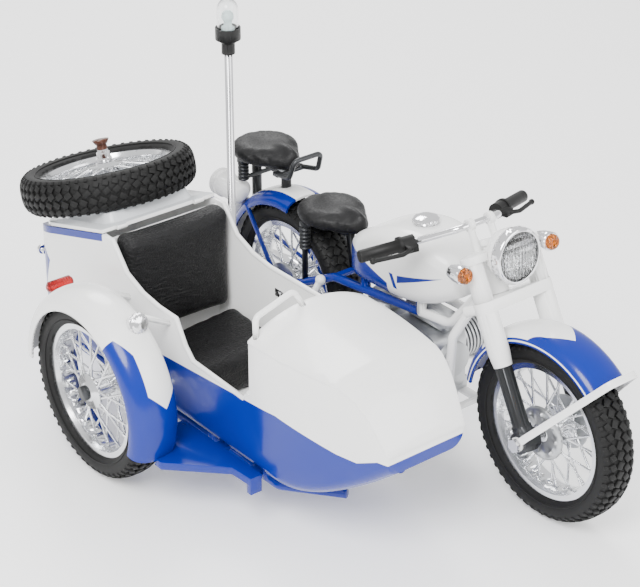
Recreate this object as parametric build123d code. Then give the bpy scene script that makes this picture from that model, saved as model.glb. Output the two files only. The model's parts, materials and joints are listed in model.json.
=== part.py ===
from build123d import *
import os
from math import cos, pi, radians, sin, sqrt

os.makedirs("parts", exist_ok=True)

# Scale model of a flat-twin motorcycle with a passenger sidecar, in millimetres.
# While it is built, X runs forwards from the rear axle, Y to the rider's left from the
# motorcycle's centre plane, and Z up from the ground. shift_to_origin() then puts the
# origin at the bottom centre of the whole model.

# --- overall layout ---
WHEELBASE = 142.0
SIDECAR_WHEEL_X = 20.5
SIDECAR_WHEEL_Y = -107.0
SIDECAR_CENTRE_Y = -59.3

# --- fits ---
RUN_FIT = 0.06
SLIDE_FIT = 0.08
SOFT_GAP = 0.3

# --- wheels ---
TYRE_R = 34.0
TYRE_HALF = 6.9
RIM_R = 25.5
RIM_HALF = 4.8
RIM_LIP = 0.8
RIM_BED_R = 24.2
RIM_INNER_R = 22.4
HUB_FLANGE_R = 6.0
HUB_FLANGE_Y = 4.6
DRUM_R = 10.0
HUB_HALF = 6.2
HUB_R = 3.6
AXLE_R = 1.6
SPOKE_R = 0.45
SPOKES = 36
SPOKE_LEAN = 24.0

# --- fork and steering ---
RAKE = 28.0
YOKE_OFFSET = 7.0
FORK_HALF = 13.2
SLIDER_R = 3.0
FOOT_COLLAR = 0.7
SLIDER_BOTTOM = -3.5
SLIDER_TOP = 40.0
COVER_R = 3.9
COVER_BOTTOM = 27.0
LOWER_YOKE_S = 46.0
YOKE_THICK = 4.0
UPPER_YOKE_S = 63.5
UPPER_YOKE_THICK = 2.6
STEM_R = 2.4
HEAD_TUBE_R = 3.9
FORK_TRAVEL = 4.0

# --- handlebar ---
BAR_R = 1.25
BAR_HALF = 38.0
BAR_END_X = 83.0
BAR_END_Z = 89.5
BAR_TOP_X = 101.0
BAR_TOP_Z = 98.0
GRIP_R = 2.3
GRIP_LENGTH = 15.0

# --- headlamp ---
LAMP_X = 121.5
LAMP_Z = 92.4
LAMP_TILT = 6.6
LAMP_R = 10.2
LAMP_RIM_DEPTH = 4.2
LAMP_SHELL_DEPTH = 7.5
LAMP_WALL = 0.8
INDICATOR_HALF = 20.5
INDICATOR_X = 116.0
INDICATOR_Z = 89.6
INDICATOR_R = 3.4

# --- sidecar body ---
TUB_HALF = 25.7
TUB_WALL = 1.6
TUB_FLOOR_Z = 20.0
TUB_REAR_X = -58.0
NOSE_X = 142.0
DECK_Z = 70.5
DECK_CROWN = 6.5
COCKPIT_REAR_X = -3.0
COCKPIT_FRONT_X = 80.0
DOOR_REAR_X = 40.0
DOOR_SILL_Z = 46.5
COAMING_Z = 61.0
BOOT_FRONT_Z = 77.0
BOOT_SLOPE = 16.5
LID_THICK = 1.4
LID_BASE_RISE = 4.0
LID_HINGE_R = 0.9

# --- mast and beacon ---
MAST_X = -2.5
MAST_R = 1.5
MAST_BOTTOM = 42.0
MAST_TOP = 138.0
BEACON_CUP_R = 4.7
BEACON_DOME_R = 3.9
BEACON_TOP = 157.0

# --- fenders ---
FENDER_WALL = 0.9
FRONT_FENDER_R = 38.8
FRONT_FENDER_HALF = 8.9
FRONT_FENDER_SKIRT = 33.6
FRONT_FENDER_TIP = 42.0
REAR_FENDER_R = 38.2
REAR_FENDER_HALF = 9.2
REAR_FENDER_SKIRT = 33.0
SIDE_FENDER_R = 38.6
SIDE_FENDER_HALF = 9.6
SIDE_FENDER_SKIRT = 31.5

# --- frame and engine ---
FRAME_TUBE_R = 1.7
FRAME_HALF = 9.8
CRADLE_Z = 19.5
ENGINE_X = 76.0
CRANK_Z = 36.0
CASE_HALF = 7.4
CYLINDER_END = 29.5
FIN_R = 8.2
SUMP_Z = 18.5
MOUNT_HOLE_R = 1.1
MOUNT_HOLE_DEPTH = 6.0
GENERATOR_R = 4.4
EXHAUST_Y = 15.8
EXHAUST_Z = 24.5

# --- lifted from the sizes above ---
RAKE_UP = Vector(-sin(radians(RAKE)), 0, cos(radians(RAKE)))
RAKE_FWD = Vector(cos(radians(RAKE)), 0, sin(radians(RAKE)))
FRONT_AXLE = Vector(WHEELBASE, 0, TYRE_R)
FORK = Plane(origin=FRONT_AXLE, x_dir=RAKE_FWD, z_dir=RAKE_UP)
TUB_OUT_Y = SIDECAR_CENTRE_Y - TUB_HALF
TUB_IN_Y = SIDECAR_CENTRE_Y + TUB_HALF
MAST_Y = TUB_IN_Y + MAST_R + 1.7
BOOT_HINGE_X = COCKPIT_REAR_X - 5.0
HEAD_BOTTOM = LOWER_YOKE_S + YOKE_THICK + 0.2
HEAD_TOP = UPPER_YOKE_S - 0.2
FOOT_OUT_Y = FORK_HALF + SLIDER_R + FOOT_COLLAR
STAY_THICK = 0.9
LAMP_BODY_R = FORK_HALF - COVER_R - 0.3
LAMP_BACK = -LAMP_RIM_DEPTH - LAMP_SHELL_DEPTH


def to_model(local, plane=FORK):
    """Point given as (forward, left, up) along the fork, in model coordinates."""
    return plane.from_local_coords(Vector(*local))


def along(start, end):
    """Plane at start whose normal points at end."""
    start, end = Vector(*start), Vector(*end)
    return Plane(origin=start, z_dir=(end - start).normalized())


def rod(start, end, radius, end_radius=None):
    """Straight round bar, or a cone, between two points."""
    length = (Vector(*end) - Vector(*start)).length
    bottom = (Align.CENTER, Align.CENTER, Align.MIN)
    if end_radius is None:
        return along(start, end) * Cylinder(radius, length, align=bottom)
    return along(start, end) * Cone(radius, end_radius, length, align=bottom)


def bent_rod(points, radius, bend):
    """Round bar through the points, its corners bent to one radius."""
    path = FilletPolyline(*points, radius=bend)
    return sweep(along(points[0], points[1]) * Circle(radius), path=path)


def about_y(profile):
    """Solid of revolution about Y from (radius, y) points."""
    return revolve(make_face(Polyline(*profile, close=True)), axis=Axis.Y)


def solids_of(*shapes):
    """One compound with every solid of the given shapes."""
    found = []
    for shape in shapes:
        found.extend(shape.solids())
    return Compound(children=found)


# ---------------------------------------------------------------- wheels


def tyre():
    """Tyre seated between the rim's lips, closed across the rim bed."""
    bead = RIM_HALF - RIM_LIP
    with BuildPart() as made:
        with BuildSketch():
            with BuildLine():
                Polyline(
                    (RIM_BED_R, 0),
                    (RIM_BED_R, bead),
                    (RIM_R, bead),
                    (RIM_R, RIM_HALF + 0.5),
                )
                ThreePointArc(
                    (RIM_R, RIM_HALF + 0.5),
                    (RIM_R + 3.6, TYRE_HALF),
                    (TYRE_R - 1.9, TYRE_HALF - 0.7),
                )
                ThreePointArc(
                    (TYRE_R - 1.9, TYRE_HALF - 0.7),
                    (TYRE_R - 0.45, TYRE_HALF * 0.52),
                    (TYRE_R, 0),
                )
                Line((TYRE_R, 0), (RIM_BED_R, 0))
            make_face()
        revolve(axis=Axis.Y)
        mirror(about=Plane.XZ)
    return made.part


def spokes(flange_r, flange_y):
    """Crossed spokes from both hub flanges to the middle of the rim."""
    made = []
    rim_r = RIM_INNER_R + 0.4
    for index in range(SPOKES):
        side = 1 if index % 2 else -1
        lean = SPOKE_LEAN if index % 4 < 2 else -SPOKE_LEAN
        rim_angle = radians(360.0 / SPOKES * index)
        hub_angle = rim_angle + radians(lean)
        hub = (flange_r * cos(hub_angle), side * flange_y, flange_r * sin(hub_angle))
        rim = (rim_r * cos(rim_angle), side * 0.7, rim_r * sin(rim_angle))
        made.append(rod(hub, rim, SPOKE_R))
    return made


def wheel_rim(flange_r=HUB_FLANGE_R):
    """Rim, spokes and hub barrel, cast in one."""
    bead = RIM_HALF - RIM_LIP
    rim = about_y(
        [
            (RIM_BED_R, -bead),
            (RIM_R, -bead),
            (RIM_R, -RIM_HALF),
            (RIM_INNER_R + 1.0, -RIM_HALF),
            (RIM_INNER_R, -RIM_HALF * 0.45),
            (RIM_INNER_R, RIM_HALF * 0.45),
            (RIM_INNER_R + 1.0, RIM_HALF),
            (RIM_R, RIM_HALF),
            (RIM_R, bead),
            (RIM_BED_R, bead),
        ]
    )
    bore = AXLE_R + RUN_FIT
    flange_in = HUB_FLANGE_Y - 0.6
    flange_out = HUB_FLANGE_Y + 0.6
    hub = about_y(
        [
            (bore, -HUB_HALF),
            (HUB_R, -HUB_HALF),
            (HUB_R, -flange_out),
            (flange_r + 0.7, -flange_out),
            (flange_r + 0.7, -flange_in),
            (HUB_R, -flange_in),
            (HUB_R, flange_in),
            (flange_r + 0.7, flange_in),
            (flange_r + 0.7, flange_out),
            (HUB_R, flange_out),
            (HUB_R, HUB_HALF),
            (bore, HUB_HALF),
        ]
    )
    return (rim + hub).fuse(*spokes(flange_r, HUB_FLANGE_Y))


def brake_drum():
    """Shallow drum with eight bolt heads, clamped over the right hub flange."""
    low, high = HUB_FLANGE_Y + 0.6, HUB_HALF + 0.2
    rim = DRUM_R - 0.8
    drum = about_y([(HUB_R, -high), (rim, -high), (DRUM_R, -high + 0.7), (DRUM_R, -low), (HUB_R, -low)])
    heads = []
    for index in range(8):
        angle = radians(45 * index)
        x, z = (DRUM_R - 2.4) * cos(angle), (DRUM_R - 2.4) * sin(angle)
        heads.append(rod((x, -high + 0.2, z), (x, -high - 0.6, z), 0.7))
    return drum.fuse(*heads)


# ---------------------------------------------------------------- front fork


def cylinder_at(x, y, low, high, radius):
    """Upright cylinder from low to high at (x, y)."""
    return Pos(x, y, low) * Cylinder(radius, high - low, align=(Align.CENTER, Align.CENTER, Align.MIN))


def yoke_plate(low, high):
    """Plate that joins the two fork tubes to the steering stem."""
    outline = make_hull(
        [
            *(Pos(0, FORK_HALF) * Circle(COVER_R)).edges(),
            *(Pos(0, -FORK_HALF) * Circle(COVER_R)).edges(),
            *(Pos(-YOKE_OFFSET, 0) * Circle(STEM_R + 2.6)).edges(),
        ]
    )
    return Pos(0, 0, low) * extrude(outline, high - low)


def fork_yokes():
    """Lower yoke with stem and side lugs, and upper yoke with the bar clamps."""
    lower = yoke_plate(LOWER_YOKE_S, LOWER_YOKE_S + YOKE_THICK)
    lower += cylinder_at(-YOKE_OFFSET, 0, LOWER_YOKE_S, UPPER_YOKE_S, STEM_R)
    for side in (1, -1):
        lug = rod(
            (-1.0, side * (FORK_HALF + 1.0), LOWER_YOKE_S + 2.0),
            (-7.0, side * (FORK_HALF + 3.2), LOWER_YOKE_S + 2.0),
            1.9,
        )
        lower += lug
    upper = yoke_plate(UPPER_YOKE_S, UPPER_YOKE_S + UPPER_YOKE_THICK)
    bar = FORK.to_local_coords(Vector(BAR_TOP_X, 0, BAR_TOP_Z))
    for side in (1, -1):
        foot = (-YOKE_OFFSET + 1.0, side * 4.6, UPPER_YOKE_S + 1.0)
        clamp = rod(foot, (bar.X, side * 4.6, bar.Z), 1.3)
        clamp += Pos(bar.X, side * 4.6, bar.Z) * Rot(90, 0, 0) * Cylinder(BAR_R + 1.0, 2.0)
        upper += clamp
    upper -= Pos(bar.X, 0, bar.Z) * Rot(90, 0, 0) * Cylinder(BAR_R, 30)
    upper += steering_damper()
    return FORK.location * lower, FORK.location * upper - lamp_room()


def fork_covers():
    """Tubes over the fork legs, below and above the lower yoke."""
    made = []
    for side in (1, -1):
        y = side * FORK_HALF
        lower = cylinder_at(0, y, COVER_BOTTOM + 5, LOWER_YOKE_S, COVER_R)
        lower += Pos(0, y, COVER_BOTTOM) * Cone(
            COVER_R - 0.6, COVER_R, 5, align=(Align.CENTER, Align.CENTER, Align.MIN)
        )
        lower -= cylinder_at(0, y, COVER_BOTTOM, LOWER_YOKE_S, SLIDER_R + SLIDE_FIT)
        upper = cylinder_at(0, y, LOWER_YOKE_S + YOKE_THICK, UPPER_YOKE_S, COVER_R - 0.4)
        made += [FORK.location * lower, FORK.location * upper]
    return solids_of(*made)


def fork_legs():
    """Sliding legs, with the cast foot that holds the axle."""
    made = []
    for side in (1, -1):
        y = side * FORK_HALF
        leg = cylinder_at(0, y, SLIDER_BOTTOM, SLIDER_TOP, SLIDER_R)
        leg += cylinder_at(0, y, SLIDER_BOTTOM, SLIDER_BOTTOM + 9, SLIDER_R + FOOT_COLLAR - 0.2)
        foot = Pos(0, y, 0) * Rot(90, 0, 0) * Cylinder(3.9, 2 * (SLIDER_R + FOOT_COLLAR))
        leg += foot
        leg -= Pos(0, y, 0) * Rot(90, 0, 0) * Cylinder(AXLE_R, 12)
        made.append(FORK.location * leg)
    return solids_of(*made)


def axle(half, nut=1.6):
    """Axle along Y with a hexagon nut at each end."""
    pin = Rot(90, 0, 0) * Cylinder(AXLE_R, 2 * half)
    for side in (1, -1):
        head = extrude(RegularPolygon(2.6, 6), nut)
        pin += Plane(origin=(0, side * half, 0), z_dir=(0, side, 0)) * head
    return pin


def front_axle():
    return Pos(FRONT_AXLE) * axle(FOOT_OUT_Y + STAY_THICK)


def front_brake_plate():
    """Fixed brake plate on the left of the wheel, with its anchor arm on the fork leg."""
    inner = HUB_HALF + 0.5
    outer = FORK_HALF - SLIDER_R - FOOT_COLLAR
    rim = (DRUM_R, inner + 0.7)
    plate = about_y([(AXLE_R, inner), (DRUM_R, inner), rim, (DRUM_R - 3, inner + 1.4), (AXLE_R, outer)])
    return Pos(FRONT_AXLE) * plate


def handlebar():
    """Chrome bar, swept back and down to the grips."""
    path = [
        (BAR_END_X, -BAR_HALF, BAR_END_Z),
        (BAR_END_X + 6.0, -19.0, BAR_END_Z + 2.0),
        (BAR_TOP_X, -9.0, BAR_TOP_Z),
        (BAR_TOP_X, 9.0, BAR_TOP_Z),
        (BAR_END_X + 6.0, 19.0, BAR_END_Z + 2.0),
        (BAR_END_X, BAR_HALF, BAR_END_Z),
    ]
    return bent_rod(path, BAR_R, 5.0)


def grip_frame(side):
    """Plane at the bar's end, its normal pointing along the grip to the bike."""
    end = Vector(BAR_END_X, side * BAR_HALF, BAR_END_Z)
    inner = Vector(BAR_END_X + 6.0, side * 19.0, BAR_END_Z + 2.0)
    return Plane(origin=end, x_dir=(1, 0, 0), z_dir=(inner - end).normalized())


def grips():
    """Ribbed rubber sleeves, closed over the bar's ends."""
    made = []
    for side in (1, -1):
        sleeve = cylinder_at(0, 0, -1.2, GRIP_LENGTH, GRIP_R)
        sleeve += cylinder_at(0, 0, GRIP_LENGTH - 1.4, GRIP_LENGTH, GRIP_R + 0.9)
        sleeve = fillet(sleeve.edges().sort_by(Axis.Z)[0], 0.8)
        sleeve -= cylinder_at(0, 0, 0, GRIP_LENGTH, BAR_R)
        made.append(grip_frame(side).location * sleeve)
    return solids_of(*made)


def hand_levers():
    """Perch clamp and lever blade ahead of each grip."""
    made = []
    for side in (1, -1):
        perch = cylinder_at(0, 0, GRIP_LENGTH + 0.1, GRIP_LENGTH + 4.6, BAR_R + 1.6)
        perch += Pos(3.0, 0, GRIP_LENGTH + 2.4) * Box(3.4, 2.6, 4.2)
        blade = bent_rod([(4.2, 0, GRIP_LENGTH + 2.2), (6.2, 0, GRIP_LENGTH - 2.0), (5.2, 0, 2.0)], 0.8, 2.0)
        lever = perch + blade + Pos(5.2, 0, 2.0) * Sphere(1.1)
        lever -= cylinder_at(0, 0, 0, GRIP_LENGTH + 6, BAR_R)
        made.append(grip_frame(side).location * lever)
    return solids_of(*made)


def steering_damper():
    """Knurled knob on top of the steering stem."""
    low = UPPER_YOKE_S + UPPER_YOKE_THICK
    knob = cylinder_at(-YOKE_OFFSET, 0, low, low + 1.2, 1.4)
    return knob + cylinder_at(-YOKE_OFFSET, 0, low + 1.2, low + 3.2, 2.6)


# ---------------------------------------------------------------- lamps

LAMP = Plane(
    origin=(LAMP_X, 0, LAMP_Z),
    x_dir=(0, 1, 0),
    z_dir=(cos(radians(LAMP_TILT)), 0, sin(radians(LAMP_TILT))),
)


def turned(points, plane):
    """Solid turned from (radius, height) points about the plane's normal."""
    face = make_face(Plane.XZ * Polyline(*points, close=True))
    return plane.location * revolve(face, axis=Axis.Z)


def lamp_room():
    """Space the headlamp fills between the fork legs, with a little air round it."""
    air = 0.3
    return turned(
        [
            (0, LAMP_BACK - air),
            (LAMP_BODY_R * 0.5 + air, LAMP_BACK + 0.3),
            (LAMP_BODY_R * 0.85 + air, LAMP_BACK + 2.1),
            (LAMP_BODY_R + air, LAMP_BACK + 5.2),
            (LAMP_BODY_R + air, 0),
            (0, 0),
        ],
        LAMP,
    )


def headlamp_shell():
    """Round-backed lamp shell between the fork covers, open at the front."""
    wide = LAMP_R - 0.9
    mid = -LAMP_RIM_DEPTH - 1.0
    wall = LAMP_WALL
    shell = turned(
        [
            (0, LAMP_BACK),
            (LAMP_BODY_R * 0.5, LAMP_BACK + 0.6),
            (LAMP_BODY_R * 0.85, LAMP_BACK + 2.4),
            (LAMP_BODY_R, LAMP_BACK + 5.2),
            (wide, mid),
            (wide, -LAMP_RIM_DEPTH),
            (wide - wall, -LAMP_RIM_DEPTH),
            (wide - wall, mid),
            (LAMP_BODY_R - wall, LAMP_BACK + 5.2),
            (LAMP_BODY_R * 0.85 - wall, LAMP_BACK + 3.0),
            (LAMP_BODY_R * 0.5 - 0.4, LAMP_BACK + 1.6),
            (0, LAMP_BACK + wall + 0.2),
        ],
        LAMP,
    )
    ear = to_model((0, 0, UPPER_YOKE_S + UPPER_YOKE_THICK / 2))
    for side in (1, -1):
        inner = (ear.X + 1.5, side * (LAMP_BODY_R - 1.4), ear.Z)
        shell += rod(inner, (ear.X + 1.5, side * (FORK_HALF - 3.4), ear.Z), 1.2)
    return shell


def headlamp_rim():
    """Deep chrome bezel."""
    return turned(
        [
            (LAMP_R - 0.9, -LAMP_RIM_DEPTH),
            (LAMP_R - 0.5, -LAMP_RIM_DEPTH),
            (LAMP_R, -LAMP_RIM_DEPTH + 1.2),
            (LAMP_R, -0.9),
            (LAMP_R - 0.4, 0),
            (LAMP_R - 1.3, 0),
            (LAMP_R - 1.3, -1.1),
            (LAMP_R - 0.9, -1.1),
        ],
        LAMP,
    )


def headlamp_lens():
    """Domed lens held by the bezel."""
    lens_r = LAMP_R - 1.3
    return turned(
        [
            (0, -1.1),
            (lens_r, -1.1),
            (lens_r, -0.1),
            (lens_r * 0.75, 0.6),
            (lens_r * 0.4, 1.0),
            (0, 1.15),
        ],
        LAMP,
    )


def headlamp_reflector():
    """Bowl behind the lens, with its bulb."""
    lens_r = LAMP_R - 1.3
    bowl = turned(
        [
            (0, -6.0),
            (2.4, -5.9),
            (5.2, -4.6),
            (lens_r - 0.6, -1.9),
            (lens_r - 0.4, -1.2),
            (lens_r - 1.0, -1.2),
            (5.0, -4.0),
            (2.2, -5.3),
            (0, -5.4),
        ],
        LAMP,
    )
    bulb = LAMP.location * (cylinder_at(0, 0, -5.4, -4.2, 1.0) + Pos(0, 0, -3.6) * Sphere(1.3))
    return bowl + bulb


def indicator_plane(side):
    return Plane(
        origin=(INDICATOR_X, side * INDICATOR_HALF, INDICATOR_Z),
        x_dir=(0, 1, 0),
        z_dir=(cos(radians(LAMP_TILT)), 0, sin(radians(LAMP_TILT))),
    )


def indicator_bodies():
    """Bullet-shaped bodies on stems from the fork covers."""
    made = []
    for side in (1, -1):
        plane = indicator_plane(side)
        bullet = turned(
            [(0, -8.2), (1.2, -7.9), (2.4, -6.4), (3.1, -4.0), (INDICATOR_R, -1.5), (INDICATOR_R, 0), (0, 0)],
            plane,
        )
        origin = FORK.to_local_coords(Vector(INDICATOR_X - 4.0, side * INDICATOR_HALF, INDICATOR_Z - 0.5))
        low = origin.Z - 0.9
        foot = (0, side * (FORK_HALF + COVER_R - 0.6), low)
        stem = FORK.location * rod(foot, (origin.X, side * (INDICATOR_HALF - 1.0), low), 1.2)
        made.append(bullet + stem)
    return solids_of(*made)


def indicator_lenses():
    """Amber lenses with a dimple in the middle."""
    made = []
    for side in (1, -1):
        made.append(
            turned(
                [(0, 0), (2.8, 0), (2.8, 1.2), (2.2, 1.9), (1.3, 1.9), (0.8, 1.3), (0, 1.3)],
                indicator_plane(side),
            )
        )
    return solids_of(*made)


# ---------------------------------------------------------------- fenders


def fender_section(radius, half, skirt, wall):
    """Half-hoop section of a fender, as points (radius, y) for one closed outline."""
    outer, inner = [], []
    steps = 10
    for index in range(steps + 1):
        angle = pi * index / steps
        y = half * cos(angle)
        crown = (radius - skirt) * sin(angle) ** 0.72
        outer.append((skirt + crown, y))
        crown_in = (radius - wall - skirt) * sin(angle) ** 0.72
        inner.append((skirt + crown_in, (half - wall) * cos(angle)))
    return outer, inner


def arch(centre, radius, half, skirt, start, end):
    """Fender over a wheel at centre, from start to end degrees clockwise from straight up."""
    outer, inner = fender_section(radius, half, skirt, FENDER_WALL)
    section = Spline(*outer) + Spline(*inner)
    rail_a = Line(outer[0], inner[0])
    rail_b = Line(outer[-1], inner[-1])
    face = make_face([*section.edges(), rail_a, rail_b])
    swept = revolve(face, axis=Axis.Y, revolution_arc=end - start)
    # radius lies on +X at the start of the turn and goes about +Y, towards -Z
    turned_arch = Rot(0, start - 90, 0) * swept
    return Pos(*centre) * turned_arch


def wheel_house(centre, radius, half, skirt):
    """Barrel that fills a fender of this size all the way round; fittings are cut to it."""
    outer, _ = fender_section(radius, half, skirt, FENDER_WALL)
    face = make_face([*Spline(*outer).edges(), *Polyline(outer[-1], (0, -half), (0, half), outer[0]).edges()])
    return Pos(*centre) * revolve(face, axis=Axis.Y)


def rear_house():
    return wheel_house((0, 0, TYRE_R), REAR_FENDER_R, REAR_FENDER_HALF, REAR_FENDER_SKIRT)


def side_house():
    centre = (SIDECAR_WHEEL_X, SIDECAR_WHEEL_Y, TYRE_R)
    return wheel_house(centre, SIDE_FENDER_R, SIDE_FENDER_HALF, SIDE_FENDER_SKIRT)


def front_fender():
    """Deep front fender; it rides with the fork legs."""
    return arch(FRONT_AXLE, FRONT_FENDER_R, FRONT_FENDER_HALF, FRONT_FENDER_SKIRT, -80, FRONT_FENDER_TIP)


def rear_fender():
    """Rear fender with two stays a side to the frame's axle lugs."""
    fender = arch((0, 0, TYRE_R), REAR_FENDER_R, REAR_FENDER_HALF, REAR_FENDER_SKIRT, -96, 6)
    for angle in (radians(-78), radians(-40)):
        reach = REAR_FENDER_SKIRT + 2.2
        for side in (1, -1):
            edge = (reach * sin(angle), side * (REAR_FENDER_HALF - 0.6), TYRE_R + reach * cos(angle))
            fender += rod((0, side * (FRAME_HALF + 0.4), TYRE_R), edge, 0.9)
    return fender


def sidecar_fender():
    """Fender over the sidecar wheel, with two braces to the body."""
    centre = (SIDECAR_WHEEL_X, SIDECAR_WHEEL_Y, TYRE_R)
    fender = arch(centre, SIDE_FENDER_R, SIDE_FENDER_HALF, SIDE_FENDER_SKIRT, -88, 109)
    edge_y = SIDECAR_WHEEL_Y + SIDE_FENDER_HALF - 0.8
    for x in (SIDECAR_WHEEL_X - 12.5, SIDECAR_WHEEL_X + 12.5):
        fender += rod((x, edge_y, 65.2), (x, TUB_OUT_Y, 58.0), 1.1)
    return fender


def front_fender_stay():
    """Flat strip from both axle ends, up and round the fender's front tip."""
    tip = radians(FRONT_FENDER_TIP)
    reach = FRONT_FENDER_R + 1.6
    lift = Plane(
        origin=FRONT_AXLE,
        x_dir=(sin(tip), 0, cos(tip)),
        z_dir=(-cos(tip), 0, sin(tip)),
    )
    side = FRONT_FENDER_HALF + 1.0
    foot = FOOT_OUT_Y + STAY_THICK / 2
    outline = [(0.0, -foot), (6.0, -foot), (reach - 9.0, -side), (reach + 4.5, -side + 3.6)]
    path = FilletPolyline(*outline, *[(x, -y) for x, y in reversed(outline)], radius=3.0)
    start = Plane(origin=(0, -foot, 0), x_dir=(0, 1, 0), z_dir=(1, 0, 0))
    strip = sweep(start * Rectangle(STAY_THICK, 2.6), path=path)
    for end in (1, -1):
        strip += Pos(0, end * foot, 0) * Rot(90, 0, 0) * Cylinder(2.6, STAY_THICK)
    strip -= Rot(90, 0, 0) * Cylinder(AXLE_R, 3 * foot)
    house = wheel_house((0, 0, 0), FRONT_FENDER_R, FRONT_FENDER_HALF, FRONT_FENDER_SKIRT)
    return lift.location * strip - Pos(FRONT_AXLE) * house


# ---------------------------------------------------------------- frame and engine


def main_frame():
    """Duplex cradle: head tube, two side loops, cross tubes and the wheel lugs."""
    head = FORK.location * (
        cylinder_at(-YOKE_OFFSET, 0, HEAD_BOTTOM, HEAD_TOP, HEAD_TUBE_R)
        - cylinder_at(-YOKE_OFFSET, 0, HEAD_BOTTOM, HEAD_TOP, STEM_R + RUN_FIT)
    )
    neck = to_model((-YOKE_OFFSET - HEAD_TUBE_R + 0.4, 0, HEAD_BOTTOM + 3.0))
    frame = head
    for side in (1, -1):
        y = side * FRAME_HALF
        cradle = [
            (neck.X, side * 1.8, neck.Z),
            (100.0, y, 55.0),
            (98.0, y, CRADLE_Z),
            (16.0, y, CRADLE_Z),
            (0.0, y, TYRE_R),
        ]
        spine = [
            (neck.X, side * 1.8, neck.Z),
            (95.0, side * 6.2, 57.0),
            (34.0, y, 52.0),
            (0.0, y, TYRE_R),
        ]
        frame += bent_rod(cradle, FRAME_TUBE_R, 6.0)
        frame += bent_rod(spine, FRAME_TUBE_R, 6.0)
        frame += Pos(0, y, TYRE_R) * Rot(90, 0, 0) * Cylinder(4.2, 2 * FRAME_TUBE_R)
        for x, z, out in ((50.0, 53.4, 8.0), (80.0, 55.8, 7.1)):
            frame += cylinder_at(x, side * out, z, z + 6.0, 2.0)
    for x, z in ((34.0, 52.0), (38.0, CRADLE_Z), (94.0, CRADLE_Z)):
        frame += rod((x, -FRAME_HALF, z), (x, FRAME_HALF, z), FRAME_TUBE_R * 0.8)
    frame -= rod((0, -FRAME_HALF - 4, TYRE_R), (0, FRAME_HALF + 4, TYRE_R), AXLE_R)
    frame -= FORK.location * cylinder_at(-YOKE_OFFSET, 0, HEAD_BOTTOM - 1, HEAD_TOP + 1, STEM_R + RUN_FIT)
    frame -= FORK.location * cylinder_at(-YOKE_OFFSET, 0, HEAD_BOTTOM - 6, HEAD_BOTTOM, HEAD_TUBE_R + 3)
    return frame


def engine_case():
    """Crankcase, sump and gearbox in one casting, with a screw hole up into the sump."""
    case = Pos(ENGINE_X, 0, CRANK_Z - 1) * Box(26, 2 * CASE_HALF, 26)
    case = fillet(case.edges().filter_by(Axis.Y), 5.0)
    case += Pos(ENGINE_X + 13, 0, CRANK_Z + 2) * Rot(0, 90, 0) * Cylinder(6.8, 5.0)
    case += Pos(ENGINE_X, 0, SUMP_Z + 2.5) * Box(22, 2 * CASE_HALF - 2.4, 5)
    rear = ENGINE_X - 13
    gearbox = Pos(rear - 9, 0, CRANK_Z - 1) * Box(18, 2 * CASE_HALF, 20)
    case += fillet(gearbox.edges().filter_by(Axis.Y), 4.0)
    case += rod((rear - 10, CASE_HALF - 0.5, CRANK_Z - 2), (rear - 10, CASE_HALF + 1.8, CRANK_Z - 2), 3.4)
    seat = CRADLE_Z + FRAME_TUBE_R
    for x in (rear - 11, ENGINE_X + 8):
        case += Pos(x, 0, seat + 2.4) * Box(6, 2 * FRAME_HALF + 1.4, 4.8)
    return case - cylinder_at(ENGINE_X, 0, SUMP_Z, SUMP_Z + MOUNT_HOLE_DEPTH, MOUNT_HOLE_R)


def cylinders():
    """Finned barrels and heads, left and right."""
    made = []
    for side in (1, -1):
        barrel = rod((ENGINE_X, side * CASE_HALF, CRANK_Z), (ENGINE_X, side * CYLINDER_END, CRANK_Z), 5.6)
        for index in range(9):
            y = CASE_HALF + 2.0 + index * 1.7
            barrel += rod((ENGINE_X, side * y, CRANK_Z), (ENGINE_X, side * (y + 0.8), CRANK_Z), FIN_R)
        head = Pos(ENGINE_X, side * (CYLINDER_END - 2.6), CRANK_Z) * Box(15.5, 5.2, 13.5)
        barrel += fillet(head.edges(), 1.6)
        made.append(barrel)
    return solids_of(*made)


def generator():
    """Generator drum on top of the crankcase."""
    z = CRANK_Z + 12 + GENERATOR_R
    drum = rod((ENGINE_X - 8, 0, z), (ENGINE_X + 11, 0, z), GENERATOR_R)
    return drum + rod((ENGINE_X + 11, 0, z), (ENGINE_X + 13, 0, z), GENERATOR_R * 0.7)


def air_cleaner():
    """Pot-shaped air cleaner above the gearbox."""
    x = ENGINE_X - 24
    pot = cylinder_at(x, 0, CRANK_Z + 9, CRANK_Z + 13, 6.5)
    return pot + cylinder_at(x, 0, CRANK_Z + 13, CRANK_Z + 14.6, 5.2)


def carburettors():
    """Float bowl and mixing tube behind each barrel."""
    made = []
    for side in (1, -1):
        y = side * 15.5
        start = ENGINE_X - FIN_R
        tube = rod((start + 3, y, CRANK_Z + 3), (start - 11, y, CRANK_Z + 3), 2.0)
        tube -= rod((ENGINE_X, y - 4, CRANK_Z), (ENGINE_X, y + 4, CRANK_Z), FIN_R)
        tube += cylinder_at(start - 6, y, CRANK_Z - 3, CRANK_Z + 8, 2.8)
        tube += cylinder_at(start - 6, y, CRANK_Z + 8, CRANK_Z + 10, 1.5)
        made.append(tube)
    return solids_of(*made)


def exhausts():
    """Header and silencer on each side, joined to the heads from below."""
    made = []
    z = EXHAUST_Z
    for side in (1, -1):
        y = side * EXHAUST_Y
        header = [
            (ENGINE_X + 4, side * (CYLINDER_END - 2.6), CRANK_Z - 6.75),
            (ENGINE_X + 4, side * (CYLINDER_END - 2.6), z),
            (ENGINE_X - 12, y, z),
            (26.0, y, z),
        ]
        body = bent_rod(header, 1.5, 4.0)
        body += rod((26.5, y, z), (22.0, y, z), 1.5, 3.8)
        body += rod((22.0, y, z), (-26.0, y, z), 3.8)
        body += rod((-26.0, y, z), (-38.0, y, z), 3.8, 2.4)
        made.append(body - rod((-38.1, y, z), (-30.0, y, z), 1.6))
    return solids_of(*made)


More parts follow.
